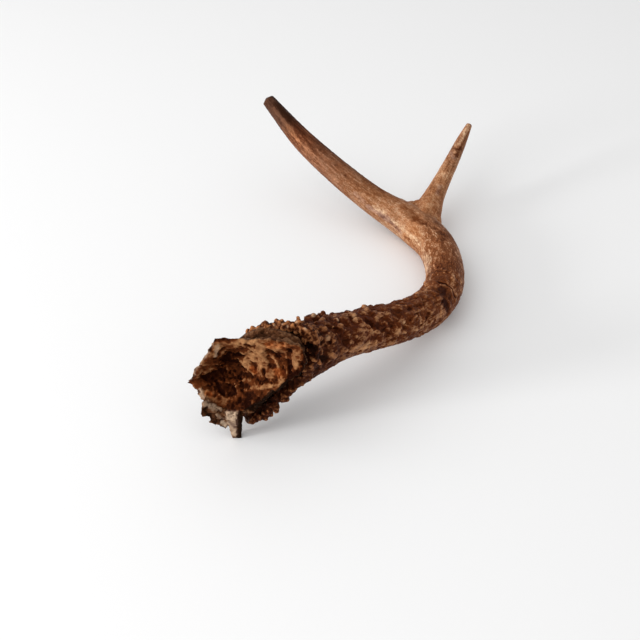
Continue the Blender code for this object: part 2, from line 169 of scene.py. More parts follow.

# Marks on the antler, as lines on the photograph: column and row where each starts, the same where it
# ends, radius in mm, rise in mm, and tone, which is about -1 for black and 1 for cream.
# Besides stains and grooves, the light marks include painted highlights on knobs and on sides towards the
# light, and the dark ones painted shade on sides away from it and beside the skull bone.
ANTLER_MARKS = (
    (355, 315.5, 355, 320.5, 1.4, 1.0, 0.9), (336.7, 320.8, 336.7, 320.8, 1.1, 0.7, 1.0),
    (331, 317, 350, 314.5, 2.2, 0.2, 0.75), (352, 313, 365, 310, 2.2, 0.2, 0.7),
    (360, 326, 372, 322, 1.0, 0.2, 0.5), (445, 297, 453, 306, 1.6, 0, 0.35),
    (414, 219, 424, 224, 2.2, 0, -0.5), (434, 208, 440, 216, 2.2, 0, -0.45),
    (403, 333, 425, 325, 1.6, 0, 0.5), (426, 323, 446, 312, 1.6, 0, 0.5),
    (370, 311, 384, 314, 1.6, 0.2, 0.45), (365, 308, 367, 311, 2.0, 1.0, 0.5),
    (370, 310.5, 370, 312, 1.3, -0.2, -0.9), (403.3, 322.5, 404, 322, 1.2, 0.6, 1.0),
    (420, 317, 420.5, 323, 0.9, 0.4, 0.7), (379, 315, 387, 313.5, 1.4, 0.5, 0.35),
    (372, 331, 375, 330, 1.2, 0.3, 0.6), (397, 333, 401, 328, 0.9, 0.4, 0.7),
    (354, 349, 363, 347, 2.4, 0.2, 0.95), (363, 347, 374, 344, 2.2, 0.2, 0.95),
    (357, 337, 360, 338, 1.1, 0.3, 0.55), (351, 342.5, 353, 342.5, 1.1, 0.3, 0.6),
    (344, 350, 349, 351, 1.2, 0.2, 0.5), (333, 355, 336, 357, 1.3, 0.3, 0.7),
    (328, 335, 327, 343, 1.5, 0.5, 0.55), (392, 345, 397, 342, 0.9, 0.1, 0.4),
    (369, 321, 385, 328, 2.3, -1.0, -0.95), (364, 319, 371, 321, 1.6, -0.8, -0.8),
    (392, 311, 402, 315, 2.6, -0.4, -0.65), (388, 320, 394, 326, 1.6, -0.5, -0.6),
    (396, 321, 403, 328, 2.0, -0.3, -0.5), (386, 334, 392, 335, 1.3, -0.4, -0.6),
    (409, 307, 411, 308.5, 1.2, -0.4, -1.0), (428.8, 313.5, 427, 318, 1.0, -0.6, -1.0),
    (427, 318, 425, 325, 0.7, -0.5, -1.0), (420.6, 305.3, 421, 306, 1.0, -0.2, -0.8),
    (434.3, 320, 434.8, 320, 0.8, -0.2, -0.7), (405, 328, 409, 331, 1.3, -0.3, -0.6),
    (443, 290, 447, 306, 3.4, -0.35, -1.0), (446, 302, 449, 311, 2.4, -0.3, -0.9),
    (434, 289, 444, 292, 2.2, -0.2, -0.6), (450, 294, 452, 304, 1.8, -0.2, -0.7),
    (439, 282, 446, 283.5, 0.8, -0.5, -1.5), (446, 283.5, 452, 289, 0.8, -0.5, -1.5),
    (452, 289, 456, 297, 0.9, -0.5, -1.3), (442, 286, 449, 289.5, 0.4, -0.3, -0.8),
    (436.5, 270.5, 449, 271.5, 0.45, -0.2, -0.8), (446, 272, 450, 274, 0.6, -0.2, -0.6),
    (340, 338, 347, 344, 2.4, -0.5, -0.6), (336, 330, 341, 334, 1.5, -0.3, -0.45),
    (312, 350, 323, 358, 2.8, -0.6, -0.9), (308, 344, 314, 348, 2.0, -0.4, -0.7),
    (434, 219, 441, 226, 2.4, 0, -0.5), (425, 223, 436, 229, 1.4, -0.15, -0.25),
    (436, 229, 446, 236, 1.9, -0.15, -0.45), (442, 232, 444, 240, 1.6, 0, -0.4),
    (403.5, 208, 414, 217, 3.2, 0, -0.65), (424, 266, 426, 276, 2.6, 0, 0.7),
    (426, 278, 428, 290, 2.8, 0, 0.4), (414, 295, 424, 291, 2.4, 0, 0.4), (460, 268, 461, 290, 2.0, 0, 0.25),
    (414, 217, 422, 222, 1.6, -0.2, -0.35), (435.5, 191.5, 441, 195, 1.8, 0, -0.3),
    (378, 215, 391, 223, 1.5, 0, -0.55), (391, 223, 400, 231, 1.1, 0, -0.4),
    (405, 237, 409, 239, 0.9, -0.2, -0.8), (413, 245, 418, 250.5, 0.6, -0.2, -0.75),
    (320, 150, 333, 159, 1.0, -0.15, -0.35), (333, 155, 345, 165, 0.9, -0.15, -0.4),
    (310, 143, 320, 150, 0.9, 0, -0.3), (335, 165, 346, 175, 1.0, -0.15, -0.35),
    (346, 175, 358, 186, 1.1, -0.15, -0.35), (362, 190, 371, 195, 0.9, -0.1, -0.25),
    (276, 104, 290, 119, 1.8, 0, -0.5), (290, 119, 304, 133, 1.8, 0, -0.4),
    (304, 133, 324, 149, 1.6, 0, -0.35), (274, 109, 283, 120, 1.2, 0, 0.7),
    (283, 120, 298, 140, 1.4, 0, 0.85), (298, 140, 314, 157, 1.3, 0, 0.7),
    (449, 162, 447, 170, 1.3, 0, -0.55), (453, 147, 459, 149, 1.1, -0.1, -0.6),
    (467, 134, 461, 147, 1.0, 0, -0.6), (460, 148, 457, 155, 1.7, 0, -0.75),
    (457, 155, 451, 172, 1.1, 0, -0.5), (450, 174, 445, 188, 1.1, 0, -0.3),
    (442, 190, 440, 212, 1.5, 0, -0.35), (471, 123.5, 471.5, 124.5, 0.6, 0, -0.8),
    (443, 173, 444, 178, 1.2, 0, 0.5), (436, 180, 438, 186, 1.2, 0, 0.4), (420, 207, 431, 204, 2.4, 0, 0.45),
    (427.5, 196.5, 428.5, 199, 0.9, 0, 0.8), (417.4, 212.9, 417.8, 213.2, 0.9, 0, 1.2),
    (395, 205, 398, 208, 1.0, 0, 0.4), (384, 200, 392, 205, 1.0, 0, 0.3),
)

# Small pale spots, worn tips of knobs and pearls with painted highlights on them: column, row, radius in mm,
# strength.
BRIGHT_SPOTS = (
    (337.3, 320.6, 0.8, 0.4), (355, 317.5, 1.3, 0.12), (366, 308.5, 1.0, 0.15), (403.5, 322.3, 1.0, 0.3),
    (313.5, 315, 1.2, 0.35), (305.5, 328.5, 0.8, 0.4), (296.5, 321.5, 0.8, 0.35), (328, 338, 1.4, 0.2),
    (283, 323.5, 0.8, 0.4), (287.5, 326.5, 0.7, 0.35), (274, 325, 0.7, 0.35), (358, 347, 2.0, 0.1),
    (368, 345, 1.8, 0.1),
)

# Pale and grey lines on the antler, the pale ones both worn bone and painted satin highlights: where each
# starts and ends, radius in mm, strength.
PALE_MARKS = (
    (374, 206.5, 385, 213, 1.3, 0.7), (392, 220.5, 403, 228, 1.3, 0.75), (403, 228, 409, 234, 1.5, 0.8),
    (411, 236, 419, 243, 1.7, 1.0), (419, 243, 425, 254, 1.4, 0.7), (424, 254, 430, 261, 1.8, 0.85),
    (422, 257, 428, 268, 2.0, 0.5), (430, 268, 430, 279, 1.3, 0.35), (468.5, 126, 463, 138, 1.4, 0.7),
    (463, 138, 459, 144, 1.2, 0.5), (455.4, 144.2, 456, 144.6, 1.0, 1.0), (455, 151, 456, 155, 0.8, 0.35),
)
GREY_MARKS = (
    (368, 207, 380, 214, 1.8, 0.6), (380, 214, 393, 223, 2.0, 0.7), (393, 224, 400, 231, 1.6, 0.5),
    (355, 194, 364, 202, 1.6, 0.3), (427, 262, 428, 272, 1.4, 0.3), (449, 152, 454, 158, 1.6, 0.5),
    (440, 186, 437, 194, 1.6, 0.4),
)

# Marks on the skull bone, with the same columns as those on the antler.
# The dark ones also paint shade: deep in the hollow, in the crevice between the broken face and the flange,
# right of the face and on the spur's far side.
SKULL_MARKS = (
    (231, 345, 262, 345, 2.3, 0, 0.45), (240, 341, 256, 340.5, 2.4, 0.1, 0.6),
    (214, 340, 240, 338.5, 1.2, 0, -1.0), (240, 338, 262, 336.5, 1.2, 0, -0.8),
    (226, 356, 243, 358, 3.0, -0.5, -0.35), (219, 345, 225, 352, 2.4, 0, 0.35),
    (274, 361, 282, 368, 1.8, 0, 0.5), (204, 391, 212, 398, 2.2, 0, 0.7), (215, 411, 222, 416, 1.8, 0, 0.5),
    (225, 402, 234, 404, 2.2, 0, 0.5), (244, 365, 247, 364, 2.6, 0.3, 0.9),
    (242, 360, 262, 357, 2.8, 0.2, 0.6), (249, 350, 262, 353, 2.8, 0, 0.55),
    (259, 362, 266, 364, 2.6, 0.2, 0.45), (268, 347, 283, 346, 1.8, 0, 0.35),
    (254, 373, 262, 367, 1.4, 0.3, 0.45), (275, 373, 280, 376, 1.6, 0.2, 0.45),
    (266, 374, 270, 378, 1.3, 0.2, 0.4), (245, 390, 258, 387.5, 1.2, 0.4, 0.5),
    (258, 387.5, 270, 386, 1.4, 0.3, 0.55), (270, 386, 283, 381, 1.0, 0.2, 0.5),
    (283, 380, 286, 373, 1.1, 0, 0.4), (268, 389, 260, 398, 1.2, 0.2, 0.6), (294, 353, 297, 366, 2.4, 0, 0.5),
    (217.7, 344, 215.7, 354, 1.5, 0, 0.75), (223, 345, 230, 347, 1.6, 0, 0.15),
    (229, 352, 245, 350, 2.2, -0.8, -0.8), (229, 362, 238, 371, 4.0, -1.0, -1.0),
    (236, 357, 243, 356, 1.6, -0.8, -0.7), (218, 360, 226, 358, 2.4, 0, -0.6),
    (210, 378, 222, 374, 3.4, -0.6, -0.9), (216, 366, 222, 370, 2.2, -0.4, -0.7),
    (221, 387, 231, 391, 3.2, -0.8, -1.0), (228, 379, 236, 381, 2.2, -0.6, -0.75),
    (240, 376, 250, 375, 1.6, -0.9, -0.85), (242, 385, 248, 387, 1.5, -0.7, -0.75),
    (231, 397, 241, 399, 2.0, 0, -0.35), (236, 391, 256, 397, 3.6, 0, -0.4),
    (269.5, 352, 277, 355, 1.8, -1.2, -0.95), (283, 348, 286, 350, 1.1, -0.4, -0.5),
    (270.5, 365, 274, 366, 1.5, -0.7, -0.7), (251, 369, 254, 370.5, 1.4, -0.6, -0.6),
    (260, 382.5, 262, 383.5, 1.0, -0.6, -0.85), (272.5, 381, 276, 382, 1.4, -1.0, -0.95),
    (280, 364, 282, 368, 1.2, -0.5, -0.8), (283, 371, 284, 376, 1.4, -0.5, -0.7),
    (255, 377, 261, 380, 1.3, -0.5, -0.7), (266, 381, 270, 383, 1.2, -0.5, -0.7),
    (262, 370, 264, 373, 1.1, -0.4, -0.6), (276, 358, 281, 360, 1.2, -0.4, -0.6),
    (252, 362, 255, 365, 1.2, -0.4, -0.5), (264, 374, 265, 379, 0.8, -0.5, -0.6),
    (289, 350, 289, 371, 1.3, -0.7, -0.8), (287, 362, 286, 378, 2.0, -0.3, -0.5),
    (293, 373, 286, 383, 2.2, -0.3, -1.0), (300, 371, 306, 362, 1.8, -0.4, -0.6),
    (303, 352, 306, 358, 1.4, -0.2, -0.5), (266, 391, 258, 402, 1.3, -0.4, -0.9),
    (249, 393, 256, 401, 2.6, -0.3, -0.4), (204, 411, 207, 415, 2.0, 0, -0.6),
    (241, 416, 241.5, 437, 2.3, 0, -2.4), (231, 423, 236, 427, 1.6, 0, -0.6),
    (302, 345, 305, 352, 1.6, 0, -1.4), (306, 354, 304, 366, 1.6, -0.3, -0.9),
    (302, 372, 291, 380, 2.2, -0.4, -1.4), (289, 381, 281, 388, 2.0, -0.3, -1.6),
    (279, 389, 264, 400, 1.8, 0, -1.7), (262, 402, 250, 408, 1.8, 0, -2.0),
    (247, 409, 260, 409, 2.0, 0, -1.6), (246, 398, 258, 391, 2.6, 0, -0.6),
    (230, 406, 248, 405, 2.6, 0, -1.4), (264, 327, 258, 331, 1.5, 0.4, 0.3),
    (250, 338, 300, 338, 2.0, 0, -0.25), (212, 419, 218, 422, 1.2, -0.3, -0.6),
)

# The pale broken edges and chips of the skull bone, and its orange stains: start, end, radius, strength.
BONE_PALE_MARKS = (
    (212, 342, 201, 360, 0.8, 0.3), (201, 360, 190, 379, 0.8, 0.35), (217, 347, 216.5, 356, 1.1, 0.4),
    (200, 391, 202, 397, 1.4, 0.5), (206, 404, 214, 407, 1.5, 0.4), (214, 408, 220, 410, 1.1, 0.3),
    (228.5, 413.5, 236, 414.5, 2.0, 0.75), (229.5, 418, 236.5, 419, 2.2, 0.7), (231, 423, 236, 424, 2.0, 0.6),
    (233, 426, 235.5, 434, 2.0, 0.7), (222.5, 422, 225, 426, 1.0, 0.8), (217, 415, 222, 419, 0.8, 0.25),
    (218, 345, 216.5, 351, 1.1, 0.25),
)
ORANGE_MARKS = (
    (207, 393, 209, 395, 1.4, 0.6), (252, 369, 254, 371, 1.6, 0.6), (276, 371, 281, 373, 2.0, 0.4),
    (268, 346, 282, 346, 2.0, 0.35),
)

# ---------------- numbers and noise


def smoothstep(low, high, x):
    t = np.clip((x - low) / (high - low), 0, 1)
    return t * t * (3 - 2 * t)


def dots(rows, others):
    """The dot product of each row with the row beside it."""
    return np.einsum("ij,ij->i", rows, others)


class Noise:
    """Gradient and cell noise over rows of points, the same each run."""

    def __init__(self, seed):
        rng = np.random.default_rng(seed)
        self.order = rng.permutation(256)
        spread = rng.normal(size=(256, 3))
        self.gradients = spread / np.linalg.norm(spread, axis=1)[:, None]
        self.jitter = rng.random((256, 3))

    def pick(self, cell):
        x, y, z = (cell & 255).T
        return self.order[(self.order[(self.order[x] + y) & 255] + z) & 255]

    def smooth(self, points):
        base = np.floor(points).astype(int)
        f = points - base
        u = f * f * f * (f * (f * 6 - 15) + 10)
        total = np.zeros(len(points))
        for corner in np.ndindex(2, 2, 2):
            offset = np.array(corner)
            weight = np.prod(np.where(offset, u, 1 - u), axis=1)
            total += weight * dots(self.gradients[self.pick(base + offset)], f - offset)
        return total * 1.6

    def cloudy(self, points, octaves):
        """Noise with finer and finer detail, each octave half as strong as the last."""
        total, scale, weight = 0, 1, 1
        for _ in range(octaves):
            total = total + weight * self.smooth(points * scale + 17.3 * scale)
            scale *= 2.03
            weight *= 0.5
        return total

    def cells(self, points):
        """Distance to the nearest seed, and that seed's own random number."""
        base = np.floor(points).astype(int)
        near = np.full(len(points), 9.0)
        value = np.zeros(len(points))
        for corner in np.ndindex(3, 3, 3):
            cell = base + np.array(corner) - 1
            key = self.pick(cell)
            far = np.linalg.norm(cell + self.jitter[key] - points, axis=1)
            closer = far < near
            value = np.where(closer, self.jitter[(key + 91) & 255, 0], value)
            near = np.where(closer, far, near)
        return near, value


# ---------------- shapes, as in the part's source


def smooth_through(points, per_span, closed=False):
    """Rows of a Catmull-Rom curve through the given rows."""
    rows = np.array(points, float)
    if closed:
        rows = np.vstack((rows[-1:], rows, rows[:2]))
    else:
        rows = np.vstack((2 * rows[0] - rows[1], rows, 2 * rows[-1] - rows[-2]))
    t = np.linspace(0, 1, per_span, endpoint=False)[:, None]
    spans = [
        0.5 * (2 * b + (c - a) * t + (2 * a - 5 * b + 4 * c - d) * t**2 + (3 * b - a - 3 * c + d) * t**3)
        for a, b, c, d in zip(rows, rows[1:], rows[2:], rows[3:])
    ]
    return np.vstack(spans if closed else [*spans, rows[-2:-1]])


def frames_along(centres):
    tangents = np.gradient(centres, axis=0)
    tangents /= np.linalg.norm(tangents, axis=1)[:, None]
    side = np.cross(tangents[0], (0, 0, 1))
    sides = []
    for tangent in tangents:
        side = side - tangent * side.dot(tangent)
        side /= np.linalg.norm(side)
        sides.append(side)
    sides = np.array(sides)
    return tangents, sides, np.cross(tangents, sides)


def reach_along(points):
    """How far along the line through them each point lies."""
    return np.r_[0, np.cumsum(np.linalg.norm(np.diff(points, axis=0), axis=1))]


def mesh_from(bm, name):
    bmesh.ops.recalc_face_normals(bm, faces=bm.faces)
    mesh = bpy.data.meshes.new(name)
    bm.to_mesh(mesh)
    bm.free()
    return mesh


def bridged(bm, rings, closed=False):
    """Adds faces from each ring to the next, and returns the rings' vertices."""
    rows = [[bm.verts.new(p) for p in ring] for ring in rings]
    for low, high in zip(rows, rows[1:] + (rows[:1] if closed else [])):
        for i in range(len(low)):
            j = (i + 1) % len(low)
            bm.faces.new((low[i], low[j], high[j], high[i]))
    return rows


def loft(rings, first_cap, last_cap):
    """A closed skin over rings, ending in a point at either end."""
    bm = bmesh.new()
    rows = bridged(bm, rings)
    for row, point in ((rows[0], first_cap), (rows[-1], last_cap)):
        apex = bm.verts.new(point)
        for i in range(len(row)):
            bm.faces.new((row[i], row[(i + 1) % len(row)], apex))
    return mesh_from(bm, "loft")


def ring_of(rings):
    """A closed skin over rings that come round to the first again."""
    bm = bmesh.new()
    bridged(bm, rings, closed=True)
    return mesh_from(bm, "ring")


def hull(points):
    bm = bmesh.new()
    made = bmesh.ops.convex_hull(bm, input=[bm.verts.new(p) for p in points])
    inner = [e for e in made["geom_interior"] if isinstance(e, bmesh.types.BMVert)]
    bmesh.ops.delete(bm, geom=inner, context="VERTS")
    return mesh_from(bm, "hull")


def ball(centre, radius, squash=(1, 1, 1)):
    bm = bmesh.new()
    place = Matrix.Translation(centre) @ Matrix.Diagonal((*squash, 1))
    bmesh.ops.create_icosphere(bm, subdivisions=2, radius=radius, matrix=place)
    return mesh_from(bm, "ball")


def beam_relief(length_along, outward):
    """How far the skin stands out at a place on the beam: knobbly near the burr, smooth past the bend."""
    knobbly = max(0.0, 1 - length_along / 165) ** 0.8
    underside = min(1.0, max(0.0, (outward.dot(Vector((0.1, 0.5, 0.85))) + 0.85) / 0.6))
    return knobbly * underside


def limb(stations, per_span, sides, knobbly=False):
    """A round limb along its stations. Its far end is slightly domed."""
    rows = smooth_through(stations, per_span)
    centres, radii = rows[:, :3], rows[:, 3]
    tangents, across, lift = frames_along(centres)
    along = reach_along(centres)
    angles = np.linspace(0, 2 * math.pi, sides, endpoint=False)
    rings = []
    for centre, radius, s, a, b in zip(centres, radii, along, across, lift):
        ring = []
        for angle in angles:
            outward = Vector(a * math.cos(angle) + b * math.sin(angle))
            radius_here = radius
            if knobbly:
                place = Vector(centre) + outward * radius
                lump = noise.noise(place / 5.2) + 0.6 * noise.noise(place / 2.9)
                radius_here += beam_relief(s, outward) * (0.4 + 2.4 * lump)
            ring.append(Vector(centre) + outward * radius_here)
        rings.append(ring)
    dome = centres[-1] + tangents[-1] * radii[-1] * TIP_ROUNDING
    return loft(rings, centres[0], dome)


def along_loop(corners, count):
    """Points at even steps round a closed line."""
    points = np.array([*corners, corners[0]], float)
    reach = reach_along(points)
    steps = np.linspace(0, reach[-1], count, endpoint=False)
    return [Vector([np.interp(s, reach, points[:, k]) for k in range(3)]) for s in steps]


def neck_outline(share, depth, count):
    """The crest's outline laid flat across the burr's axis, at a share of its size and a depth along it."""
    outline = []
    for corner in along_loop(smooth_through(BURR_CREST, 6, closed=True), count):
        spoke = (corner - BURR_CENTRE) * share
        outline.append(BURR_CENTRE + spoke - BURR_AXIS * (spoke.dot(BURR_AXIS) - depth))
    return outline


def between(pair, share):
    return pair[0] + (pair[1] - pair[0]) * share


# ---------------- from shapes to skins


def read(rows, name, width, kind=np.float32):
    """One property of every vertex or edge, as rows of numbers."""
    flat = np.empty(len(rows) * width, kind)
    rows.foreach_get(name, flat)
    return flat.reshape(-1, width)


def coords(mesh):
    return read(mesh.vertices, "co", 3).astype(float)


def set_coords(mesh, points):
    mesh.vertices.foreach_set("co", np.ascontiguousarray(points, np.float32).ravel())
    mesh.update()


def normals(mesh):
    return read(mesh.vertex_normals, "vector", 3).astype(float)


def edges(mesh):
    return read(mesh.edges, "vertices", 2, np.int32)


def relaxed(rows, pairs, rounds):
    """One row of numbers per vertex, drawn halfway to the mean of its neighbours' a number of times."""
    ends = np.r_[pairs[:, 0], pairs[:, 1]]
    others = np.r_[pairs[:, 1], pairs[:, 0]]
    count = np.bincount(ends, minlength=len(rows))[:, None]
    for _ in range(rounds):
        sums = [np.bincount(ends, column[others], len(rows)) for column in rows.T]
        rows = rows + (np.stack(sums, axis=1) / count - rows) * 0.5
    return rows


def raised(points, outward, height):
    """The points moved outward by their heights, apart from where the part rests on the table."""
    moved = points + outward * (height * smoothstep(0.02, 0.6, points[:, 2]))[:, None]
    moved[:, 2] = np.maximum(moved[:, 2], 0)
    return moved


def depth_in_burr(points):
    """How far each point lies from the burr's centre, along its axis."""
    return (points - np.array(BURR_CENTRE)) @ np.array(BURR_AXIS)


def add_object(name, data):
    obj = bpy.data.objects.new(name, data)
    bpy.context.scene.collection.objects.link(obj)
    return obj


def apply_modifiers(obj):
    graph = bpy.context.evaluated_depsgraph_get()
    mesh = bpy.data.meshes.new_from_object(obj.evaluated_get(graph))
    obj.modifiers.clear()
    obj.data = mesh


def fused(name, meshes, voxel):
    """Welds overlapping closed meshes into one even skin."""
    bm = bmesh.new()
    for mesh in meshes:
        bm.from_mesh(mesh)
        bpy.data.meshes.remove(mesh)
    whole = bpy.data.meshes.new(name)
    bm.to_mesh(whole)
    bm.free()
    obj = add_object(name, whole)
    remesh = obj.modifiers.new("weld", "REMESH")
    remesh.mode = "VOXEL"
    remesh.voxel_size = voxel
    apply_modifiers(obj)
    return obj


def put(mesh, **layers):
    """Stores numbers or vectors, one per vertex, for the materials to read by name."""
    for name, values in layers.items():
        kind, field = ("FLOAT", "value") if values.ndim == 1 else ("FLOAT_VECTOR", "vector")
        layer = mesh.attributes.new(name, kind, "POINT")
        layer.data.foreach_set(field, values.astype(np.float32).ravel())


def tree_of(meshes):
    """A search tree over the faces of several meshes."""
    points, faces = [], []
    for mesh in meshes:
        start = len(points)
        points += [v.co.copy() for v in mesh.vertices]
        faces += [tuple(start + i for i in p.vertices) for p in mesh.polygons]
    return bvhtree.BVHTree.FromPolygons(points, faces)


def closeness(points, tree, reach):
    """1 where a point touches the surface in the tree, down to 0 where it is the reach away."""
    near = np.zeros(len(points))
    for i, point in enumerate(points):
        far = tree.find_nearest(Vector(point), reach)[3]
        if far is not None:
            near[i] = 1 - far / reach
    return near


def thin_to(obj, triangles):
    now = sum(len(p.vertices) - 2 for p in obj.data.polygons)
    if now > triangles:
        thin = obj.modifiers.new("thin", "DECIMATE")
        thin.ratio = triangles / now
        apply_modifiers(obj)


# ---------------- places picked off the photograph


def pixel_ray(u, v):
    """The direction that a pixel of the photograph looks in."""
    pitch = math.radians(CAMERA_PITCH)
    ahead = Vector((0, math.cos(pitch), -math.sin(pitch)))
    up = Vector((0, math.sin(pitch), math.cos(pitch)))
    half = FRAME_PIXELS / 2
    across = Vector((1, 0, 0)) * (u - half) / FOCAL_PIXELS
    down = up * (v - half) / FOCAL_PIXELS
    return (ahead + across - down).normalized()


class Finder:
    """Finds the place on a skin that shows at a pixel, or else a few pixels off."""

    def __init__(self, obj):
        self.tree = tree_of([obj.data])

    def at(self, u, v):
        for k in range(PIXELS_OFF):
            for du, dv in ((0, 0), (k, 0), (-k, 0), (0, k), (0, -k)):
                hit = self.tree.ray_cast(CAMERA_AT, pixel_ray(u + du, v + dv))[0]
                if hit is not None:
                    return np.array(hit)
        raise ValueError(f"nothing shows near {u}, {v}")


def evened(obj):
    """Evens out a welded skin, and gives its edges, points and directions outward, and a finder."""
    mesh = obj.data
    pairs = edges(mesh)
    points = relaxed(coords(mesh), pairs, 2)
    set_coords(mesh, points)
    return pairs, points, normals(mesh), Finder(obj)


def settled(mesh, pairs, moved, *rounds):
    """Moves the skin, and gives its directions outward and how far it stands out from its surroundings."""
    set_coords(mesh, moved)
    outward = normals(mesh)
    return outward, *(dots(moved - relaxed(moved, pairs, count), outward) for count in rounds)


def stroke(points, finder, line, radius, ragged):
    """A soft mask along a line, or round a spot, of the photograph, laid on the skin that shows there."""
    start, end = np.array(line[:2]), np.array(line[-2:])
    steps = max(1, round(math.dist(start, end) / PIXELS_APART))
    share = np.linspace(0, 1, steps + 1)[:, None]
    picks = np.array([finder.at(*spot) for spot in start * (1 - share) + end * share])
    low, high = picks.min(0) - 2.5 * radius, picks.max(0) + 2.5 * radius
    close = np.flatnonzero(((points > low) & (points < high)).all(1))
    far = np.linalg.norm(points[close, None] - picks, axis=2).min(1) / radius
    mask = np.zeros(len(points))
    mask[close] = 1 - smoothstep(0.5, 1.5, far + ragged[close])
    return mask


def strongest(points, finder, marks, ragged):
    """The strongest of several marks at each point."""
    mask = np.zeros(len(points))
    for *line, radius, strength in marks:
        mask = np.maximum(mask, strength * stroke(points, finder, line, radius, ragged))
    return mask


# ---------------- the antler


def burr_shapes():
    """The flange of the burr, its rolled crest, and the pearls on both and up the flare of the beam."""
    chance = random.Random(SEED)
    crest = [Vector(p) for p in smooth_through(BURR_CREST, 6, closed=True)]
    rows = smooth_through(BEAM_STATIONS, 8)
    collar_at, collar_radius = Vector(rows[COLLAR_ROW, :3]), rows[COLLAR_ROW, 3]
    _, sides, lifts = frames_along(rows[:, :3])
    angles = np.linspace(0, 2 * math.pi, 32, endpoint=False)
    ring = np.cos(angles)[:, None] * sides[COLLAR_ROW] + np.sin(angles)[:, None] * lifts[COLLAR_ROW]
    collar = [collar_at + Vector(p) * collar_radius * 0.98 for p in ring]
    plate = [BURR_CENTRE + (p - BURR_CENTRE) * 0.98 for p in crest]
    shapes = [
        hull(plate + neck_outline(FLANGE_SHOULDER, PARTING_DEPTH + 5, 36)),
        hull(collar + neck_outline(FLANGE_SHOULDER, PARTING_DEPTH, 36)),
    ]
    rings = []
    for before, point, after in zip(crest[-1:] + crest[:-1], crest, crest[1:] + crest[:1]):
        outward = (point - BURR_CENTRE).normalized()
        across = (after - before).normalized().cross(outward)
        roll = BURR_ROLL * chance.uniform(0.85, 1.15)
        steps = np.linspace(0, 2 * math.pi, 10, endpoint=False)
        rings.append([point + (outward * math.cos(a) + across * math.sin(a)) * roll for a in steps])
    shapes.append(ring_of(rings))

    def on_flare(point, rise):
        """A place between a point of the crest and the collar, and the way out from there."""
        outward = (point - collar_at).normalized()
        on_collar = collar_at + (outward - BURR_AXIS * outward.dot(BURR_AXIS)) * collar_radius
        return point.lerp(on_collar, rise), outward

    # the larger pearls of the solid
    for i in range(CREST_PEARLS):
        point = crest[i * len(crest) // CREST_PEARLS]
        outward = (point - BURR_CENTRE).normalized()
        jitter = Vector([chance.uniform(-1.6, 1.6) for _ in range(3)])
        place = point + outward * chance.uniform(0.6, 2.2) + jitter
        radius = chance.uniform(*PEARL_RADII)
        place.z = max(place.z, radius + LOWEST_PEARL)
        shapes.append(ball(place, radius * PEARL_SCALE))
    for _ in range(CROWN_PEARLS):
        point = crest[int(chance.uniform(0.0, 0.5) * len(crest))]
        rise = chance.random() ** 0.8
        place, outward = on_flare(point, rise)
        radius = chance.uniform(*PEARL_RADII) * (1 - 0.2 * rise)
        shapes.append(ball(place + outward * 1.4, radius * PEARL_SCALE))

    # small ones on the front of the flange, round its edge and up the flare
    for i in range(FLANGE_PEARLS):
        point = crest[i * 7 % len(crest)]
        spoke = point - BURR_CENTRE
        place = BURR_CENTRE + spoke * chance.uniform(0.84, 1.05) - BURR_AXIS * chance.uniform(0.5, 2.2)
        radius = chance.uniform(0.8, 1.7)
        place.z = max(place.z, radius + LOWEST_PEARL)
        shapes.append(ball(place, radius))
    for _ in range(FLARE_PEARLS):
        point = crest[int(chance.uniform(-0.1, 0.7) * len(crest)) % len(crest)]
        place, outward = on_flare(point, chance.uniform(0, 1.25))
        shapes.append(ball(place + outward * chance.uniform(0.4, 1.5), chance.uniform(0.8, 1.6)))
    return shapes


def seen_pearls(shapes):
    """The pearls that show on the photograph, sunk a little into the skin of the other shapes."""
    rough_out = fused("rough_out", [m.copy() for m in shapes], ROUGH_VOXEL)
    finder = Finder(rough_out)
    bpy.data.objects.remove(rough_out)
    pearls = []
    for column, row, radius in SEEN_PEARLS:
        sunk = 0.25 if row < 350 else 0.6
        place = finder.at(column, row) + np.array(pixel_ray(column, row)) * sunk * radius
        place[2] = max(place[2], radius + LOWEST_PEARL)
        squash = (0.9, 0.9, 1.35) if row < 333 else (1, 1, 1)
        pearls.append(ball(place, radius * (1 if column < 285 else PEARL_SCALE), squash))
    return pearls


def neck_room():
    """The room inside the burr that the neck of the skull bone fills."""
    rings = [neck_outline(NECK_ROOM_SHARE, depth, 60) for depth in (-ROOM_REACH, PARTING_DEPTH)]
    return loft(rings, BURR_CENTRE - BURR_AXIS * ROOM_REACH, BURR_CENTRE + BURR_AXIS * PARTING_DEPTH)


def limb_coordinates(points, stations):
    """For each point: length along the limb, distance from its axis over its radius, and flow coordinates."""
    rows = smooth_through(stations, 40)
    centres, radii = rows[:, :3], rows[:, 3]
    tangents, sides, lifts = frames_along(centres)
    along = reach_along(centres)
    nearest = np.empty(len(points), int)
    batch = 20000
    for start in range(0, len(points), batch):
        part = points[start : start + batch]
        gaps = (part**2).sum(1)[:, None] - 2 * part @ centres.T + (centres**2).sum(1)
        nearest[start : start + batch] = gaps.argmin(1)
    arm = points - centres[nearest]
    length = along[nearest] + dots(arm, tangents[nearest])
    x, y = dots(arm, sides[nearest]), dots(arm, lifts[nearest])
    return length, np.hypot(x, y) / radii[nearest], np.stack((length, x, y), axis=1)


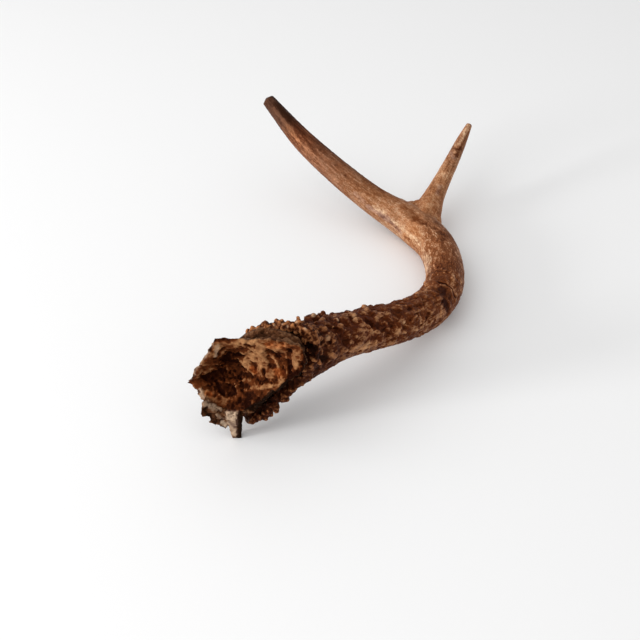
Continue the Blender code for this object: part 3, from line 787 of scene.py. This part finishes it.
def skin_relief(noises, flow, knobbly, smooth_zone, groove_zone, speckle_zone):
    """Height and tone of the fine relief, from coordinates that run along the limb."""
    rough, grain = noises
    lumpy = flow / (1.8, 1, 1)
    near, value = rough.cells(lumpy / 4.2)
    bumps = np.clip(1 - (near / 0.55) ** 2, 0, 1) * smoothstep(0.35, 0.75, value)
    channel = np.exp(-((rough.smooth(flow / (13, 4.2, 4.2) + 5) / 0.09) ** 2))
    channel *= smoothstep(-0.2, 0.35, rough.smooth(flow / 9 + 31))
    pits = smoothstep(0.22, 0.6, rough.cloudy(lumpy / 3.4 + 40, 2))
    broad = rough.cloudy(lumpy / 6.5 + 12, 2)
    height = knobbly * (0.9 * bumps - 0.6 * channel - 0.7 * pits + 0.3 * rough.cloudy(flow / 1.9, 2))
    tone = knobbly * (0.4 * bumps - 0.3 * channel - 0.35 * pits + 0.45 * broad)

    near, value = grain.cells(flow / (2.6, 1.5, 1.5))
    specks = np.clip(1 - (near / 0.5) ** 2, 0, 1)
    height += (0.13 + 0.07 * knobbly) * smooth_zone * (specks - 0.35)
    tone += (0.2 + 0.35 * speckle_zone) * smooth_zone * (specks * (0.4 + 1.2 * value) - 0.42)
    mottle = grain.cloudy(flow / (6.5, 3.2, 3.2) + 21, 3)
    tone += (0.2 + 0.45 * speckle_zone) * mottle
    streaks = grain.cloudy(flow / (13, 1.3, 1.3) + 9, 2)
    wide = grain.cloudy(flow / (26, 3.4, 3.4) + 50, 2)
    height -= groove_zone * (0.14 * smoothstep(0.0, 0.5, streaks) + 0.2 * smoothstep(0.1, 0.6, wide))
    tone -= groove_zone * (0.42 * streaks + 0.4 * wide)
    return height, tone


def rough_antler():
    """The antler before its fine relief, in one skin, with the room for the neck cut out."""
    shapes = [limb(BEAM_STATIONS, 30, 96, knobbly=True), limb(SHORT_TINE_STATIONS, 12, 48), *burr_shapes()]
    shapes += [ball(knob[:3], knob[3]) for knob in (*KNOBS, *CROTCH_WEB)]
    shapes += seen_pearls(shapes)
    antler = fused("antler", shapes, ANTLER_VOXEL)
    room = add_object("neck_room", neck_room())
    cut = antler.modifiers.new("neck room", "BOOLEAN")
    cut.operation = "DIFFERENCE"
    cut.object = room
    apply_modifiers(antler)
    bpy.data.objects.remove(room)
    return antler


def build_antler(skull_tree):
    antler = rough_antler()
    mesh = antler.data
    pairs, points, outward, finder = evened(antler)
    length, main_out, flow = limb_coordinates(points, BEAM_STATIONS)
    tine_length, tine_out, tine_flow = limb_coordinates(points, SHORT_TINE_STATIONS)
    on_tine = smoothstep(-0.3, 0.3, main_out - tine_out)
    distance = length * (1 - on_tine) + (TINE_START + tine_length) * on_tine

    noises = Noise(seed=11), Noise(seed=23)
    lower_beam = 1 - smoothstep(105, 178, length)
    open_side = 1 - smoothstep(-0.15, 0.75, outward @ (0.15, 0.55, -0.82))
    knobbly = lower_beam * (0.15 + 0.85 * open_side) * smoothstep(-3, 4, depth_in_burr(points))
    pearly = 1 - smoothstep(8, 24, length)
    crotch = 1 - smoothstep(0.3, 1.7, np.linalg.norm(points - CROTCH, axis=1) / 20)
    blotches = noises[1].cloudy(flow / (4.6, 2.3, 2.3) + 60, 3)
    tip_short = smoothstep(78, 104, tine_length) * on_tine
    smooth_zone = np.clip(1 - 0.3 * crotch - 0.8 * tip_short, 0.1, 1) * (1 - 0.6 * pearly)
    groove_main = 0.35 * smoothstep(150, 215, length) + 0.65 * smoothstep(222, 255, length)
    groove_main *= (1 - 0.7 * crotch) * (1 - smoothstep(345, 356, length))
    groove_tine = 0.6 * smoothstep(35, 55, tine_length) * (1 - 0.7 * tip_short)
    speckled = smoothstep(112, 150, length) * (1 - smoothstep(250, 290, length))
    main = skin_relief(noises, flow, knobbly * (1 - 0.6 * pearly), smooth_zone, groove_main, speckled)
    tine = skin_relief(noises, tine_flow + 70, 0 * knobbly, smooth_zone, groove_tine, 0.4)
    height = main[0] * (1 - on_tine) + tine[0] * on_tine
    height += pearly * 0.55 * noises[0].cloudy(points / 2.3 + 13, 3)
    tone = main[1] * (1 - on_tine) + tine[1] * on_tine
    # painted shade: the bend and the fork darker on their sides that face away from the light
    stains_and_painted_light = smoothstep(0.0, 0.95, outward @ (0.72, 0.62, 0.3)) * smoothstep(235, 275, length)
    tone -= 0.7 * stains_and_painted_light * (1 - on_tine)
    tone += 0.35 * np.maximum(speckled, crotch) * blotches
    # painted light: the limb past the bend lighter on its sides that face the light
    tone += 0.3 * smoothstep(0.2, 1.0, outward @ (-0.85, -0.5, 0.1)) * smoothstep(150, 200, length)

    ragged = (0.45 - 0.2 * lower_beam) * noises[1].cloudy(points / 1.5, 2)
    # the marks lay stains and grooves, and also painted highlights and painted shade
    for *line, radius, rise, shade in ANTLER_MARKS:
        mask = stroke(points, finder, line, radius, ragged)
        height += rise * mask
        tone += shade * mask * (1.15 if shade > 0 else 1.6)
    grey = strongest(points, finder, GREY_MARKS, ragged * 1.6)
    # pale: worn bone and painted highlights
    pale = strongest(points, finder, PALE_MARKS, ragged * 1.6)
    pale *= 0.12 + 0.88 * smoothstep(-0.25, 0.3, noises[1].cloudy(flow / (2.4, 0.8, 0.8) + 3, 3))
    pale = np.maximum(pale, strongest(points, finder, BRIGHT_SPOTS, ragged))

    roundness = dots(points - relaxed(points, pairs, BROAD), outward) * (1 - lower_beam) * (1 - pearly)
    outward, cavity, pore = settled(mesh, pairs, raised(points, outward, height), BROAD, 6)
    cavity -= roundness
    # pearls pale on their tips and dark between them; the -0.5 of low is painted shade on the flange's lower
    # pearls
    low = 1 - smoothstep(34, 54, points[:, 2])
    tone += pearly * ((1.9 - 1.4 * low) * np.clip(cavity - 0.15, -0.8, 0.9) - 0.5 * low)
    tone += pearly * low * 0.8 * noises[0].cloudy(points / 1.6 + 29, 2)
    tops = smoothstep(0.35, 1.0, outward @ (0, 0.62, 0.79))
    tone += pearly * (1 - low) * (0.25 - 1.3 * tops) - (0.35 + 0.3 * lower_beam) * (1 - pearly) * tops
    # painted shade where the skull bone comes close
    tone -= 1.2 * closeness(points, skull_tree, TIGHT)
    tip_long = smoothstep(322, 350, length + 6 * ragged) * (1 - on_tine)
    put(mesh, cavity=cavity, pore=pore, tone=tone, pale=pale, grey=grey, tip_long=tip_long, crotch=crotch)
    put(mesh, speckled=speckled, knobbly=knobbly, distance=distance)
    put(mesh, flow=flow, tine_flow=tine_flow, on_tine=on_tine)
    thin_to(antler, MOST_TRIANGLES)
    return antler


# ---------------- the skull bone


def skull_shell():
    def leftness(point):
        return min(1.0, max(0.0, (-48 - point[0]) / 34))

    def ragged(point):
        return Vector([noise.noise(point + Vector((0, 0, 31 * axis))) for axis in range(3)])

    rim = along_loop(MOUTH_RIM, RIM_POINTS)
    rim = [p + ragged(p / 3.1) * 0.9 for p in rim]
    neck = neck_outline(NECK_SHARE, PARTING_DEPTH - GAP, RIM_POINTS)
    neck_back = neck_outline(NECK_SHARE, PARTING_DEPTH - NECK_LENGTH, RIM_POINTS)
    waist, lip = [], []
    for edge, foot in zip(rim, neck_back):
        outward = (edge - RIM_CENTRE).normalized()
        outward.z = min(outward.z, max(-0.1, 1 - 3 * leftness(edge)))
        waist.append(edge.lerp(foot, 0.5) + outward * between(WAIST_BULGE, leftness(edge)))
        wall = between(WALL, leftness(edge))
        lip.append(edge + (HOLLOW_CENTRE - edge).normalized() * wall + HOLLOW_DIRECTION * 0.4)
    rings = [neck, neck_back, waist, rim, lip]
    for share in np.linspace(0.97, 0.03, BOWL_RINGS):
        ring = []
        for edge in lip:
            place = HOLLOW_CENTRE + (edge - HOLLOW_CENTRE) * share
            depth = between(HOLLOW_DEPTH, leftness(place)) * (1 - share**2) ** 1.1
            depth += 1.3 * noise.noise(place / 4.5) * (1 - share**8)
            ring.append(place + HOLLOW_DIRECTION * depth)
        rings.append(ring)
    deepest = HOLLOW_CENTRE + HOLLOW_DIRECTION * between(HOLLOW_DEPTH, leftness(HOLLOW_CENTRE))
    return loft(rings, BURR_CENTRE + BURR_AXIS * (PARTING_DEPTH - GAP), deepest)


def inside_mouth(points, shell, pairs):
    """1 on the broken face and in the hollow, 0 on the outside of the bone and its splinters."""
    tree = tree_of([shell])
    first, last = 3 * RIM_POINTS, (4 + BOWL_RINGS) * RIM_POINTS
    mask = np.empty(len(points))
    for i, point in enumerate(points):
        _, _, face, far = tree.find_nearest(Vector(point))
        mask[i] = far < ON_SHELL and (first <= face < last or face >= last + RIM_POINTS)
    return relaxed(mask[:, None], pairs, 2)[:, 0]


def build_skull(shell, shapes, antler_tree):
    skull = fused("skull", shapes, SKULL_VOXEL)
    mesh = skull.data
    pairs, points, outward, finder = evened(skull)
    rough, fine = Noise(seed=31), Noise(seed=37)
    mouth = inside_mouth(points, shell, pairs)
    bpy.data.meshes.remove(shell)
    pits = smoothstep(0.1, 0.7, rough.cloudy(points / 5.2, 2))
    near, value = fine.cells(points / 3.0)
    pores = np.clip(1 - (near / 0.5) ** 2, 0, 1) * smoothstep(0.5, 0.7, value)
    ragged = 0.5 * fine.cloudy(points / 1.7, 2)
    spur = smoothstep(-71, -69.5, points[:, 0]) * (1 - smoothstep(14, 18, points[:, 2])) * (1 - mouth)
    height = mouth * (-0.9 * pits - 0.5 * pores + 0.3 * rough.cloudy(points / 3.2, 2))
    height += (1 - mouth) * (1.2 * rough.cloudy(points / 4.5, 3) + 0.22 * fine.cloudy(points / 1.6, 3) - 0.1)
    height *= 1 - 0.7 * spur
    height *= 1 - 0.8 * (1 - mouth) * smoothstep(-50, -62, points[:, 0]) * smoothstep(26, 34, points[:, 2])
    ledge = (1 - mouth) * (1 - smoothstep(21, 27, points[:, 2])) * smoothstep(2, 7, points[:, 2])
    height += ledge * (1 - spur) * 0.9 * rough.cloudy(points / 3 + 11, 3)
    tone = mouth * (0.1 - 0.8 * pits - 0.55 * pores + 0.6 * rough.cloudy(points / 4.2 + 7, 2))
    tone += (1 - mouth) * (0.9 * rough.cloudy(points / 5 + 3, 3) + 0.5 * fine.cloudy(points / 1.8 + 3, 2))
    tone += ledge * 0.5 * rough.cloudy(points / 2.4 + 19, 3)
    tone *= 1 - 0.75 * spur
    tone -= (0.2 * mouth + 0.4 * (1 - mouth)) * (1 - smoothstep(-80, -66, points[:, 0]))
    # painted shade where the antler comes close
    tone -= (1 - mouth) * 1.2 * closeness(points, antler_tree, TIGHT)
    # painted shade: the outside of the bone darker on its right below about 56 mm, where it faces away from
    # the light
    tone -= (1 - mouth) * 0.9 * smoothstep(-62, -48, points[:, 0]) * (1 - smoothstep(52, 60, points[:, 2]))
    # the darkest marks are painted shade, which keeps the pale edges off them
    shaded = np.zeros(len(points))
    for *line, radius, rise, shade in SKULL_MARKS:
        mask = stroke(points, finder, line, radius, ragged)
        height += rise * mask
        tone += shade * mask
        if shade < -1.1:
            shaded = np.maximum(shaded, mask)
    pale = strongest(points, finder, BONE_PALE_MARKS, ragged) * (1 - shaded)
    orange = strongest(points, finder, ORANGE_MARKS, ragged)
    height *= 1 - smoothstep(-7, -3, depth_in_burr(points))
    _, cavity, pore = settled(mesh, pairs, raised(points, outward, height), 30, 5)
    put(mesh, cavity=cavity, pore=pore, tone=tone, pale=pale, orange=orange, mouth=mouth)
    thin_to(skull, MOST_TRIANGLES)
    return skull


# ---------------- materials


class Graph:
    """A material's node tree, with short ways of adding and joining its nodes."""

    def __init__(self, name):
        self.material = bpy.data.materials.new(name)
        self.material.use_nodes = True
        self.tree = self.material.node_tree
        self.shader = self.tree.nodes["Principled BSDF"]

    def node(self, kind, inputs=(), **settings):
        made = self.tree.nodes.new(kind)
        for key, value in settings.items():
            setattr(made, key, value)
        for key, value in dict(inputs).items():
            self.feed(made.inputs[key], value)
        return made

    def feed(self, socket, value):
        if isinstance(value, bpy.types.NodeSocket):
            self.tree.links.new(value, socket)
        else:
            socket.default_value = value

    def attribute(self, name, vector=False):
        return self.node("ShaderNodeAttribute", attribute_name=name).outputs["Vector" if vector else "Fac"]

    def maths(self, operation, a, b):
        return self.node("ShaderNodeMath", {0: a, 1: b}, operation=operation).outputs[0]

    def times(self, a, b):
        return self.maths("MULTIPLY", a, b)

    def spread(self, value, low, high, to_low=0.0, to_high=1.0):
        """Maps a range to another, with soft ends."""
        inputs = enumerate((value, low, high, to_low, to_high))
        return self.node("ShaderNodeMapRange", inputs, interpolation_type="SMOOTHSTEP").outputs[0]

    def noise(self, vector, scale, detail=4, rough=0.6):
        inputs = {"Vector": vector, "Scale": scale, "Detail": detail, "Roughness": rough}
        return self.node("ShaderNodeTexNoise", inputs).outputs["Fac"]

    def mix(self, share, a, b, blend="MIX"):
        inputs = {0: share, 6: a, 7: b}
        return self.node("ShaderNodeMix", inputs, data_type="RGBA", blend_type=blend).outputs[2]

    def mix_floats(self, share, a, b):
        return self.node("ShaderNodeMix", {0: share, 2: a, 3: b}, data_type="FLOAT").outputs[0]

    def streaks(self, flow, along, across):
        """Noise drawn out along the limb; the two scales are per millimetre."""
        inputs = {0: flow, 1: (along, across, across)}
        scaled = self.node("ShaderNodeVectorMath", inputs, operation="MULTIPLY").outputs[0]
        return self.noise(scaled, 1.0, 4, 0.62)

    def total(self, *terms):
        """The sum of each socket times its factor plus its offset."""
        result = None
        for socket, factor, offset in terms:
            inputs = {0: socket, 1: factor, 2: offset}
            made = self.node("ShaderNodeMath", inputs, operation="MULTIPLY_ADD").outputs[0]
            result = made if result is None else self.maths("ADD", result, made)
        return result

    def patchy(self, area, value, strength):
        """A term of a total: a value about 0.5 turned into a tone about 0, in one area alone."""
        return self.times(self.attribute(area), self.total((value, strength, -strength / 2))), 1.0, 0.0

    def ramp(self, value, stops, reach):
        """Colours at distances in mm, blended in between."""
        made = self.node("ShaderNodeValToRGB", {0: self.maths("DIVIDE", value, float(reach))})
        row = made.color_ramp.elements
        while len(row) < len(stops):
            row.new(1)
        for element, (at, shade) in zip(row, stops):
            element.position = at / reach
            element.color = colour(*shade)
        return made.outputs[0]

    def three_tones(self, tone, dark, middle, light):
        """Dark where the tone is low, the middle colour at 0, light where it is high, with soft ends."""
        tone = self.spread(tone, -1.5, 1.5, -1.0, 1.0)
        lower = self.mix(self.maths("ADD", tone, 1.0), dark, middle)
        return self.mix(tone, lower, light)

    def mottled(self, skin, value, low, high):
        """Dims and brightens a colour by a value between 0 and 1."""
        grey = self.node("ShaderNodeCombineColor")
        for socket in grey.inputs:
            self.feed(socket, self.spread(value, 0.25, 0.75, low, high))
        return self.mix(1.0, skin, grey.outputs[0], "MULTIPLY")

    def stains_and_painted_light(self, skin, tone, *stains):
        """Lays stains and painted highlights over a skin, each where its attribute is high and from dark to
        light with the tone.
        """
        for name, strength, low, high, dark, light in stains:
            stain = self.mix(self.spread(tone, low, high), colour(*dark), colour(*light))
            skin = self.mix(self.times(self.attribute(name), strength), skin, stain)
        return skin

    def surface(self, skin, roughness, normal, shine):
        """Joins the four to the shader and gives the material."""
        names = "Base Color", "Roughness", "Normal", "Specular IOR Level", "Specular Tint"
        for name, value in zip(names, (skin, roughness, normal, shine, (1, 0.6, 0.35, 1))):
            self.feed(self.shader.inputs[name], value)
        return self.material

    def bump(self, height, strength, distance, after=None):
        inputs = {"Height": height, "Strength": strength, "Distance": distance}
        made = self.node("ShaderNodeBump", inputs)
        if after is not None:
            self.feed(made.inputs["Normal"], after)
        return made.outputs[0]


def colour(red, green, blue):
    """An sRGB colour, 0 to 255, as the linear one that a socket takes."""
    parts = [c / 255 for c in (red, green, blue)]
    return (*[c / 12.92 if c <= 0.04045 else ((c + 0.055) / 1.055) ** 2.4 for c in parts], 1)


BEAM_REACH, TINE_REACH = 400, 120  # lengths in mm that the colours are spread over
BEAM_PALETTE = (
    # distance along in mm, then the dark, middle and light colour of the skin there
    (10, (20, 3, 1), (62, 24, 8), (160, 104, 64)),
    (45, (34, 4, 0), (80, 32, 8), (196, 142, 98)),
    (140, (42, 8, 1), (107, 56, 25), (206, 152, 108)),
    (190, (56, 20, 6), (133, 81, 48), (214, 175, 140)),
    (225, (92, 48, 21), (156, 112, 81), (206, 171, 140)),
    (255, (84, 40, 16), (130, 85, 55), (176, 136, 106)),
    (300, (58, 23, 7), (117, 75, 52), (162, 118, 92)),
    (335, (53, 20, 7), (92, 46, 25), (196, 132, 90)),
)
TINE_PALETTE = (
    (20, (84, 40, 16), (148, 95, 59), (206, 160, 120)),
    (60, (88, 43, 21), (162, 114, 80), (214, 172, 136)),
    (85, (64, 25, 9), (134, 89, 62), (198, 154, 120)),
    (105, (76, 35, 14), (126, 72, 41), (220, 180, 146)),
)


def antler_material():
    g = Graph("antler_skin")
    flow, tine_flow = g.attribute("flow", vector=True), g.attribute("tine_flow", vector=True)
    on_tine, distance = g.attribute("on_tine"), g.attribute("distance")
    streaks = g.mix_floats(on_tine, g.streaks(flow, 0.16, 0.9), g.streaks(tine_flow, 0.16, 0.9))
    grit = g.mix_floats(on_tine, g.streaks(flow, 0.9, 1.6), g.streaks(tine_flow, 0.9, 1.6))
    place = g.node("ShaderNodeTexCoord").outputs["Object"]

    tone = g.total(
        (g.attribute("tone"), 0.62, 0.0),
        (g.attribute("cavity"), 0.4, 0.0),
        (g.attribute("pore"), 1.0, 0.0),
        (streaks, 1.4, -0.7),
        (grit, 1.0, -0.5),
        (g.noise(place, 60, 3), 1.2, -0.6),
        g.patchy("speckled", g.streaks(flow, 0.35, 1.1), 2.4),
        g.patchy("knobbly", g.noise(place, 330, 3, 0.5), 2.1),
    )
    tone = g.times(tone, g.total((g.attribute("knobbly"), -0.3, 1.0)))
    tine_distance = g.maths("SUBTRACT", distance, float(TINE_START))
    bands = []
    for k in (1, 2, 3):
        on_beam = g.ramp(distance, [(row[0], row[k]) for row in BEAM_PALETTE], BEAM_REACH)
        on_short = g.ramp(tine_distance, [(row[0], row[k]) for row in TINE_PALETTE], TINE_REACH)
        bands.append(g.mix(on_tine, on_beam, on_short))
    skin = g.mottled(g.three_tones(tone, *bands), grit, 0.8, 1.2)
    skin = g.mix(g.times(g.attribute("crotch"), 0.2), skin, colour(150, 88, 46))
    tint = g.mix(g.spread(g.noise(place, 240, 4), 0.38, 0.62), (1.03, 0.98, 0.93, 1), (0.98, 1.01, 1.04, 1))
    skin = g.mix(1.0, skin, tint, "MULTIPLY")
    skin = g.stains_and_painted_light(
        skin,
        tone,
        ("tip_long", 0.85, -0.8, 0.9, (38, 20, 11), (78, 53, 43)),
        ("grey", 0.9, -0.9, 0.9, (92, 66, 62), (168, 134, 118)),
        # pale: worn bone and painted satin highlights
        ("pale", 0.9, -0.9, 0.6, (150, 108, 80), (224, 192, 156)),
    )
    bumps = g.bump(streaks, 0.5, 0.0006, g.bump(grit, 0.5, 0.0003))
    return g.surface(skin, g.spread(tone, -1.0, 1.0, 0.68, 0.38), bumps, 0.1)


def skull_material():
    g = Graph("old_bone")
    place = g.node("ShaderNodeTexCoord").outputs["Object"]
    fine = g.noise(place, 900, 4, 0.65)
    medium = g.noise(place, 260, 4, 0.6)
    tone = g.total(
        (g.attribute("tone"), 0.85, 0.0),
        (g.attribute("cavity"), 0.5, 0.0),
        (g.attribute("pore"), 1.2, 0.0),
        (fine, 0.7, -0.35),
        (medium, 1.1, -0.55),
    )
    inside = g.three_tones(tone, colour(26, 4, 1), colour(85, 40, 15), colour(160, 114, 75))
    outside = g.three_tones(tone, colour(24, 9, 3), colour(74, 43, 24), colour(122, 87, 60))
    bone = g.mottled(g.mix(g.attribute("mouth"), outside, inside), fine, 0.8, 1.2)
    bone = g.stains_and_painted_light(
        bone,
        tone,
        ("orange", 0.8, -1.0, 0.8, (90, 30, 6), (190, 100, 44)),
        ("pale", 1.0, -1.0, 0.3, (104, 78, 68), (210, 182, 154)),
    )
    bumps = g.bump(fine, 0.5, 0.0004, g.bump(medium, 0.5, 0.0008))
    return g.surface(bone, g.spread(tone, -1.0, 1.0, 0.8, 0.55), bumps, 0.06)


# ---------------- floor, light and camera


def floor():
    mesh = bpy.data.meshes.new("floor")
    corners = [(x * FLOOR_REACH, y * FLOOR_REACH, 0) for x, y in ((-1, -1), (1, -1), (1, 1), (-1, 1))]
    mesh.from_pydata(corners, [], [(0, 1, 2, 3)])
    obj = add_object("floor", mesh)
    g = Graph("pale_floor")
    g.shader.inputs["Base Color"].default_value = (0.86, 0.86, 0.86, 1)
    g.shader.inputs["Roughness"].default_value = 0.6
    mesh.materials.append(g.material)


def lights():
    world = bpy.data.worlds.new("studio")
    bpy.context.scene.world = world
    world.use_nodes = True
    background = world.node_tree.nodes["Background"].inputs
    background["Color"].default_value = (1, 1, 1, 1)
    background["Strength"].default_value = 0.74
    for name, at, size, power in (
        ("low_key", (-1.8, -0.73, 0.48), 0.43, 21.0),
        ("broad", (-1.15, -0.42, 1.03), 2.1, 12.5),
    ):
        light = bpy.data.lights.new(name, "AREA")
        light.shape = "DISK"
        light.size = size
        light.energy = power
        obj = add_object(name, light)
        obj.location = at
        obj.rotation_euler = (Vector((0, 0, 0.02)) - Vector(at)).to_track_quat("-Z", "Y").to_euler()


def camera():
    data = bpy.data.cameras.new("camera")
    data.sensor_width = 36
    data.lens = FOCAL_PIXELS / FRAME_PIXELS * data.sensor_width
    obj = add_object("camera", data)
    obj.location = (CAMERA_AT + CENTRING) * MM
    obj.rotation_euler = (math.radians(90 - CAMERA_PITCH), 0, 0)
    bpy.context.scene.camera = obj


def finish_piece(obj, material, slot, *nodes):
    mesh = obj.data
    mesh.transform(Matrix.Diagonal((MM, MM, MM, 1)) @ Matrix.Translation(CENTRING))
    mesh.materials.clear()
    mesh.materials.append(material)
    mesh.shade_smooth()
    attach(obj, "root")
    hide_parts(*nodes)


camera()
shell = skull_shell()
skull_shapes = [shell.copy(), limb(PEDICLE_SWELL, 8, 32), *(hull(corners) for corners in SPLINTERS)]
antler = build_antler(tree_of(skull_shapes))
skull = build_skull(shell, skull_shapes, tree_of([antler.data]))
finish_piece(antler, antler_material(), "knobbly_antler", "beam", "long_tine", "short_tine")
finish_piece(skull, skull_material(), "skull_bone", "skull_bone")
floor()
lights()
bpy.context.scene.view_settings.view_transform = "Standard"
